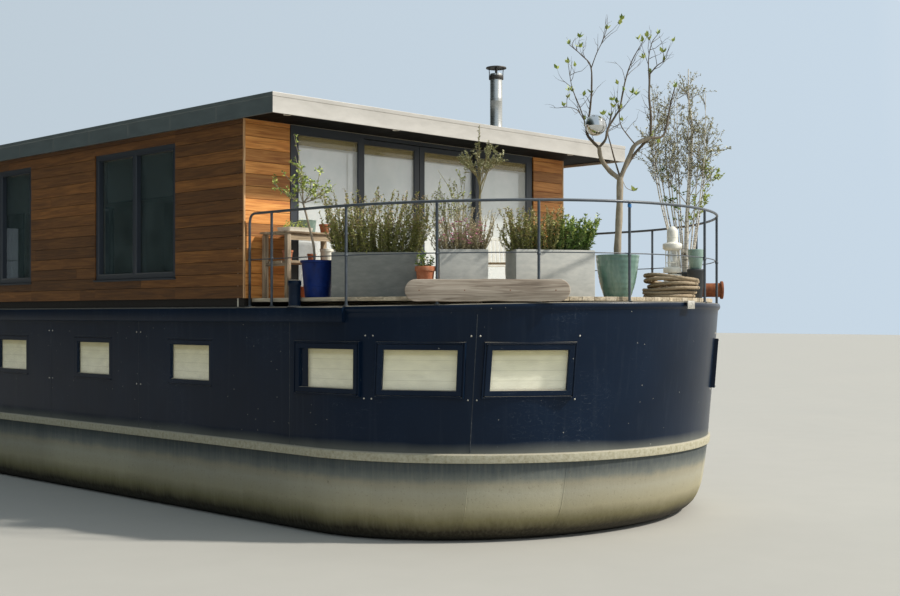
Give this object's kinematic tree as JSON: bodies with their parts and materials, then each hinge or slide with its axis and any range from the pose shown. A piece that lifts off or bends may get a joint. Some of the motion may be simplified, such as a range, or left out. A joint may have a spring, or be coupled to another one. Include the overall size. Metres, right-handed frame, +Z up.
{
  "type": "houseboat",
  "caption": "Steel barge houseboat with a round bow, cedar-clad cabin, flat roof, sliding front doors, railed decks and planters.",
  "frame": {"origin": "middle of the hull's flat bottom, on the centreline, at the height it stands on", "axes": "+X to port, +Y towards the stern along the hull, +Z up; the bow points along -Y"},
  "size_m": [7.14, 20.0409, 6.63],
  "materials": {
    "silted_steel": "bare and silt-stained plating, matt, darker towards the ground",
    "navy_steel": "navy gloss paint on steel plate, dusty and finely scratched",
    "weathered_timber": "untreated softwood, silvered and checked",
    "cedar_cladding": "red cedar boards, oiled, board to board colour changes",
    "floor_boards": "pale satin floor boards",
    "window_glass": "clear double glazing",
    "dark_frames": "powder-coated aluminium, satin",
    "roof_membrane": "matt roofing membrane",
    "fascia_metal": "folded sheet, satin grey coating",
    "stainless_flue": "twin-wall stainless, heat-tinted at the top",
    "galvanised_rail": "grey-blue paint on galvanised tube",
    "fibre_cement": "smooth grey fibre cement, faint water marks",
    "foliage": "leaves and twigs",
    "blue_plastic": "moulded polyethylene, soft gloss",
    "green_glaze": "celadon green glaze with streaks",
    "terracotta": "unglazed clay, limy and weathered",
    "bark": "thin grey-brown bark",
    "birch_bark": "white bark with dark bands",
    "white_paint": "old white gloss paint on pressed steel",
    "mirror_ball": "mirror-finished steel ball",
    "rope_fibre": "laid rope, hairy and muddy",
    "rusty_steel": "rusted steel",
    "bright_steel": "bare steel polished by chains",
    "dark_plastic": "dusty moulded plastic"
  },
  "bodies": {
    "hull": {"aft_deck_boards": "weathered_timber", "bare_tree": "bark", "birch_tub": "dark_plastic", "blue_tub": "blue_plastic", "bow_mid_rod": "galvanised_rail", "bow_rail": "galvanised_rail", "cabin_floor": "floor_boards", "clay_pot": "terracotta", "dark_pot": "dark_plastic", "flue_cap": "stainless_flue", "flue_flashing": "stainless_flue", "flue_pipe": "stainless_flue", "foredeck_boards": "weathered_timber", "front_door_frame": "dark_frames", "front_glass_port": "window_glass", "front_glass_starboard": "window_glass", "green_pot": "green_glaze", "hull_lower": "silted_steel", "hull_topsides": "navy_steel", "lantern": "white_paint", "mirror_ball": "mirror_ball", "name_board": "weathered_timber", "potting_bench": "weathered_timber", "rear_door_frame": "dark_frames", "roller_drum": "rusty_steel", "roof_fascia": "fascia_metal", "roof_slab": "roof_membrane", "rope_coil": "rope_fibre", "shrubs_a": "foliage", "shrubs_b": "foliage", "shrubs_c": "foliage", "stem_fairlead": "bright_steel", "stern_mid_rod": "galvanised_rail", "stern_rail": "galvanised_rail", "trough_a": "fibre_cement", "trough_b": "fibre_cement", "trough_c": "fibre_cement", "tub_tree": "bark", "wall_front_port": "cedar_cladding", "wall_front_starboard": "cedar_cladding", "wall_port": "cedar_cladding", "wall_rear": "cedar_cladding", "wall_starboard": "cedar_cladding", "white_birch": "birch_bark", "window_port_aft": "dark_frames", "window_port_aft_glass": "window_glass", "window_port_fore": "dark_frames", "window_port_fore_glass": "window_glass", "window_rear": "dark_frames", "window_rear_glass": "window_glass", "window_starboard_aft": "dark_frames", "window_starboard_aft_glass": "window_glass", "window_starboard_fore": "dark_frames", "window_starboard_fore_glass": "window_glass"},
    "front_leaf_starboard_body": {"front_leaf_starboard": "dark_frames", "front_leaf_starboard_glass": "window_glass"},
    "front_leaf_port_body": {"front_leaf_port": "dark_frames", "front_leaf_port_glass": "window_glass"},
    "rear_door_body": {"rear_door_glass": "window_glass", "rear_door_leaf": "dark_frames"}
  },
  "joints": [
    {"name": "front_leaf_starboard_slide", "type": "slide", "parent": "hull", "child": "front_leaf_starboard_body", "axis": [-1, 0, 0], "range_m": [0, 1.1]},
    {"name": "front_leaf_port_slide", "type": "slide", "parent": "hull", "child": "front_leaf_port_body", "axis": [1, 0, 0], "range_m": [0, 1.1]},
    {"name": "rear_door_hinge", "type": "hinge", "parent": "hull", "child": "rear_door_body", "pos_m": [1.712, 6.006, 3.9], "axis": [0, 0, -1], "range_deg": [0, 100]}
  ]
}
